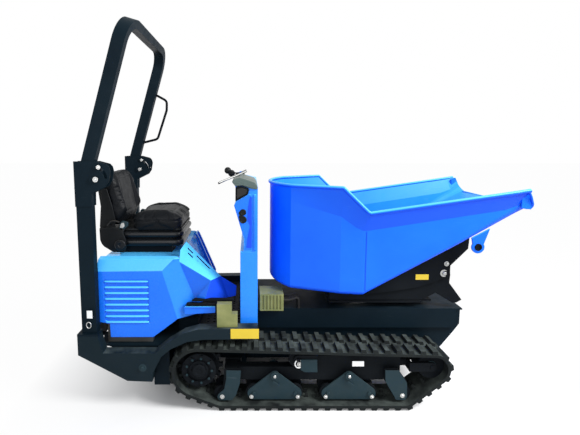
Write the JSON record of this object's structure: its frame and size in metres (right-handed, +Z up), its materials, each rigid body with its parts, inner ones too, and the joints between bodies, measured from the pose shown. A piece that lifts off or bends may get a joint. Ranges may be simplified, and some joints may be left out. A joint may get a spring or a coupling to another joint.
{
  "type": "tracked power carrier",
  "caption": "Ride-on rubber-tracked carrier with an operator's seat, folding roll bar, control column and a skip that swivels and tips over its chute.",
  "frame": {"origin": "on the ground under the middle of the machine", "axes": "+X forward towards the skip's lip, +Y to the machine's left, +Z up"},
  "size_m": [2.932, 1.1, 2.5271],
  "materials": {
    "blue_paint": "gloss",
    "charcoal_paint": "satin",
    "slate_paint": "satin",
    "black_paint": "satin",
    "bare_steel": "turned",
    "engine_iron": "rough cast",
    "core_aluminium": "bare",
    "olive_zinc": "satin",
    "rod_chrome": "polished",
    "track_rubber": "worn",
    "hose_rubber": "satin",
    "bellows_rubber": "satin",
    "black_plastic": "fine grained",
    "black_vinyl": "satin"
  },
  "bodies": {
    "chassis": {"main_frame": "charcoal_paint", "track_frames": "black_paint", "right_track_belt": "track_rubber", "left_track_belt": "track_rubber", "drive_motors": "black_paint", "right_side_skirt": "charcoal_paint", "left_side_skirt": "charcoal_paint", "floor_plate": "black_paint", "engine": "engine_iron", "radiator": "core_aluminium", "fuel_tank": "black_plastic", "hydraulic_valves": "olive_zinc", "hydraulic_hoses": "hose_rubber", "roll_bar_posts": "charcoal_paint", "control_column": "blue_paint", "control_head": "blue_paint", "hand_rest": "black_plastic", "side_cowl": "blue_paint", "slew_ring": "bare_steel"},
    "arch": {"roll_bar_arch": "charcoal_paint", "grab_handle": "black_paint"},
    "hood": {"hood": "blue_paint", "seat_base": "black_paint", "seat_bellows": "bellows_rubber"},
    "seat": {"seat_pan": "black_plastic", "seat_cushion": "black_vinyl"},
    "backrest": {"backrest": "black_vinyl"},
    "fan": {"cooling_fan": "black_plastic"},
    "right_lever": {"right_travel_lever": "black_plastic"},
    "left_lever": {"left_travel_lever": "black_plastic"},
    "switch": {"rocker_switch": "black_plastic"},
    "turntable": {"turntable": "black_paint"},
    "skip": {"skip_tub": "blue_paint", "skip_underframe": "black_paint"},
    "barrel": {"cylinder_barrel": "black_paint"},
    "rod": {"cylinder_rod": "rod_chrome"},
    "right_sprocket": {"right_sprocket": "black_paint"},
    "right_tension_fork": {"right_tension_fork": "black_paint"},
    "right_idler": {"right_idler": "black_paint"},
    "right_carrier_roller": {"right_carrier_roller": "black_paint"},
    "right_rear_bogie": {"right_rear_bogie": "slate_paint"},
    "right_front_bogie": {"right_front_bogie": "slate_paint"},
    "right_roller_1": {"right_roller_1": "black_paint"},
    "right_roller_2": {"right_roller_2": "black_paint"},
    "right_roller_3": {"right_roller_3": "black_paint"},
    "right_roller_4": {"right_roller_4": "black_paint"},
    "right_roller_5": {"right_roller_5": "black_paint"},
    "right_roller_6": {"right_roller_6": "black_paint"},
    "left_sprocket": {"left_sprocket": "black_paint"},
    "left_tension_fork": {"left_tension_fork": "black_paint"},
    "left_idler": {"left_idler": "black_paint"},
    "left_carrier_roller": {"left_carrier_roller": "black_paint"},
    "left_rear_bogie": {"left_rear_bogie": "slate_paint"},
    "left_front_bogie": {"left_front_bogie": "slate_paint"},
    "left_roller_1": {"left_roller_1": "black_paint"},
    "left_roller_2": {"left_roller_2": "black_paint"},
    "left_roller_3": {"left_roller_3": "black_paint"},
    "left_roller_4": {"left_roller_4": "black_paint"},
    "left_roller_5": {"left_roller_5": "black_paint"},
    "left_roller_6": {"left_roller_6": "black_paint"}
  },
  "joints": [
    {"name": "right_drive", "type": "hinge", "parent": "chassis", "child": "right_sprocket", "pos_m": [-0.691, -0.435, 0.256], "axis": [0, 1, 0], "continuous": true},
    {"name": "right_tension", "type": "slide", "parent": "chassis", "child": "right_tension_fork", "axis": [1, 0, 0], "range_m": [-0.04, 0], "stiffness_N_per_m": 60000, "springref_m": 0.01},
    {"name": "right_idler_spin", "type": "hinge", "parent": "right_tension_fork", "child": "right_idler", "pos_m": [0.831, -0.435, 0.28], "axis": [0, 1, 0], "continuous": true},
    {"name": "right_carrier_spin", "type": "hinge", "parent": "chassis", "child": "right_carrier_roller", "pos_m": [-0.041, -0.435, 0.32809], "axis": [0, 1, 0], "continuous": true},
    {"name": "right_rear_bogie_rock", "type": "hinge", "parent": "chassis", "child": "right_rear_bogie", "pos_m": [-0.195, -0.435, 0.215], "axis": [0, 1, 0], "range_deg": [-2, 2]},
    {"name": "right_front_bogie_rock", "type": "hinge", "parent": "chassis", "child": "right_front_bogie", "pos_m": [0.292, -0.435, 0.215], "axis": [0, 1, 0], "range_deg": [-2, 2]},
    {"name": "right_roller_1_spin", "type": "hinge", "parent": "chassis", "child": "right_roller_1", "pos_m": [-0.541, -0.435, 0.0904], "axis": [0, 1, 0], "continuous": true},
    {"name": "right_roller_2_spin", "type": "hinge", "parent": "right_rear_bogie", "child": "right_roller_2", "pos_m": [-0.331, -0.435, 0.09555], "axis": [0, 1, 0], "continuous": true},
    {"name": "right_roller_3_spin", "type": "hinge", "parent": "right_rear_bogie", "child": "right_roller_3", "pos_m": [-0.059, -0.435, 0.09555], "axis": [0, 1, 0], "continuous": true},
    {"name": "right_roller_4_spin", "type": "hinge", "parent": "right_front_bogie", "child": "right_roller_4", "pos_m": [0.156, -0.435, 0.09555], "axis": [0, 1, 0], "continuous": true},
    {"name": "right_roller_5_spin", "type": "hinge", "parent": "right_front_bogie", "child": "right_roller_5", "pos_m": [0.428, -0.435, 0.09555], "axis": [0, 1, 0], "continuous": true},
    {"name": "right_roller_6_spin", "type": "hinge", "parent": "chassis", "child": "right_roller_6", "pos_m": [0.652, -0.435, 0.0904], "axis": [0, 1, 0], "continuous": true},
    {"name": "left_drive", "type": "hinge", "parent": "chassis", "child": "left_sprocket", "pos_m": [-0.691, 0.435, 0.256], "axis": [0, 1, 0], "continuous": true},
    {"name": "left_tension", "type": "slide", "parent": "chassis", "child": "left_tension_fork", "axis": [1, 0, 0], "range_m": [-0.04, 0], "stiffness_N_per_m": 60000, "springref_m": 0.01},
    {"name": "left_idler_spin", "type": "hinge", "parent": "left_tension_fork", "child": "left_idler", "pos_m": [0.831, 0.435, 0.28], "axis": [0, 1, 0], "continuous": true},
    {"name": "left_carrier_spin", "type": "hinge", "parent": "chassis", "child": "left_carrier_roller", "pos_m": [-0.041, 0.435, 0.32809], "axis": [0, 1, 0], "continuous": true},
    {"name": "left_rear_bogie_rock", "type": "hinge", "parent": "chassis", "child": "left_rear_bogie", "pos_m": [-0.195, 0.435, 0.215], "axis": [0, 1, 0], "range_deg": [-2, 2]},
    {"name": "left_front_bogie_rock", "type": "hinge", "parent": "chassis", "child": "left_front_bogie", "pos_m": [0.292, 0.435, 0.215], "axis": [0, 1, 0], "range_deg": [-2, 2]},
    {"name": "left_roller_1_spin", "type": "hinge", "parent": "chassis", "child": "left_roller_1", "pos_m": [-0.541, 0.435, 0.0904], "axis": [0, 1, 0], "continuous": true},
    {"name": "left_roller_2_spin", "type": "hinge", "parent": "left_rear_bogie", "child": "left_roller_2", "pos_m": [-0.331, 0.435, 0.09555], "axis": [0, 1, 0], "continuous": true},
    {"name": "left_roller_3_spin", "type": "hinge", "parent": "left_rear_bogie", "child": "left_roller_3", "pos_m": [-0.059, 0.435, 0.09555], "axis": [0, 1, 0], "continuous": true},
    {"name": "left_roller_4_spin", "type": "hinge", "parent": "left_front_bogie", "child": "left_roller_4", "pos_m": [0.156, 0.435, 0.09555], "axis": [0, 1, 0], "continuous": true},
    {"name": "left_roller_5_spin", "type": "hinge", "parent": "left_front_bogie", "child": "left_roller_5", "pos_m": [0.428, 0.435, 0.09555], "axis": [0, 1, 0], "continuous": true},
    {"name": "left_roller_6_spin", "type": "hinge", "parent": "chassis", "child": "left_roller_6", "pos_m": [0.652, 0.435, 0.0904], "axis": [0, 1, 0], "continuous": true},
    {"name": "fan_spin", "type": "hinge", "parent": "chassis", "child": "fan", "pos_m": [-1.16, -0.33, 0.69], "axis": [0, 1, 0], "continuous": true},
    {"name": "roll_bar_fold", "type": "hinge", "parent": "chassis", "child": "arch", "pos_m": [-1.328, 0, 1.508], "axis": [0, 1, 0], "range_deg": [0, 60]},
    {"name": "hood_tilt", "type": "hinge", "parent": "chassis", "child": "hood", "pos_m": [-0.814, 0, 0.965], "axis": [0, 1, 0], "range_deg": [0, 40]},
    {"name": "seat_suspension", "type": "slide", "parent": "hood", "child": "seat", "axis": [0, 0, 1], "range_m": [-0.04, 0], "stiffness_N_per_m": 20000, "springref_m": 0.035, "deforming": ["seat_bellows"]},
    {"name": "backrest_recline", "type": "hinge", "parent": "seat", "child": "backrest", "pos_m": [-1.33, 0, 1.168], "axis": [0, 1, 0], "range_deg": [-20, 0]},
    {"name": "right_travel", "type": "hinge", "parent": "chassis", "child": "right_lever", "pos_m": [-0.425, -0.15, 1.512], "axis": [0, 1, 0], "range_deg": [-12, 12], "stiffness_Nm_per_rad": 2},
    {"name": "left_travel", "type": "hinge", "parent": "chassis", "child": "left_lever", "pos_m": [-0.425, 0.02, 1.512], "axis": [0, 1, 0], "range_deg": [-12, 12], "stiffness_Nm_per_rad": 2},
    {"name": "horn_switch", "type": "hinge", "parent": "chassis", "child": "switch", "pos_m": [-0.415, -0.441, 1.275], "axis": [1, 0, 0], "range_deg": [-5, 5]},
    {"name": "skip_swivel", "type": "hinge", "parent": "chassis", "child": "turntable", "pos_m": [0.425, 0, 0.617], "axis": [0, 0, 1], "range_deg": [-90, 90]},
    {"name": "skip_tip", "type": "hinge", "parent": "turntable", "child": "skip", "pos_m": [0.995, 0, 0.838], "axis": [0, 1, 0], "range_deg": [0, 70]},
    {"name": "ram_swing", "type": "hinge", "parent": "turntable", "child": "barrel", "pos_m": [0.41, 0, 0.668], "axis": [0, -1, 0], "range_deg": [-1, 2]},
    {"name": "ram_stroke", "type": "slide", "parent": "barrel", "child": "rod", "axis": [0.9272, 0, 0.3745], "range_m": [0, 0.09]}
  ],
  "couplings": [
    {"joint": "right_idler_spin", "follows": "right_drive", "ratio": 1.7471},
    {"joint": "right_carrier_spin", "follows": "right_drive", "ratio": 2.4359},
    {"joint": "right_roller_1_spin", "follows": "right_drive", "ratio": 2.9008},
    {"joint": "right_roller_2_spin", "follows": "right_drive", "ratio": 2.9008},
    {"joint": "right_roller_3_spin", "follows": "right_drive", "ratio": 2.9008},
    {"joint": "right_roller_4_spin", "follows": "right_drive", "ratio": 2.9008},
    {"joint": "right_roller_5_spin", "follows": "right_drive", "ratio": 2.9008},
    {"joint": "right_roller_6_spin", "follows": "right_drive", "ratio": 2.9008},
    {"joint": "left_idler_spin", "follows": "left_drive", "ratio": 1.7471},
    {"joint": "left_carrier_spin", "follows": "left_drive", "ratio": 2.4359},
    {"joint": "left_roller_1_spin", "follows": "left_drive", "ratio": 2.9008},
    {"joint": "left_roller_2_spin", "follows": "left_drive", "ratio": 2.9008},
    {"joint": "left_roller_3_spin", "follows": "left_drive", "ratio": 2.9008},
    {"joint": "left_roller_4_spin", "follows": "left_drive", "ratio": 2.9008},
    {"joint": "left_roller_5_spin", "follows": "left_drive", "ratio": 2.9008},
    {"joint": "left_roller_6_spin", "follows": "left_drive", "ratio": 2.9008},
    {"joint": "ram_swing", "follows": "skip_tip", "ratio": 0.0127},
    {"joint": "ram_stroke", "follows": "skip_tip", "m_per_rad": 0.07021}
  ]
}
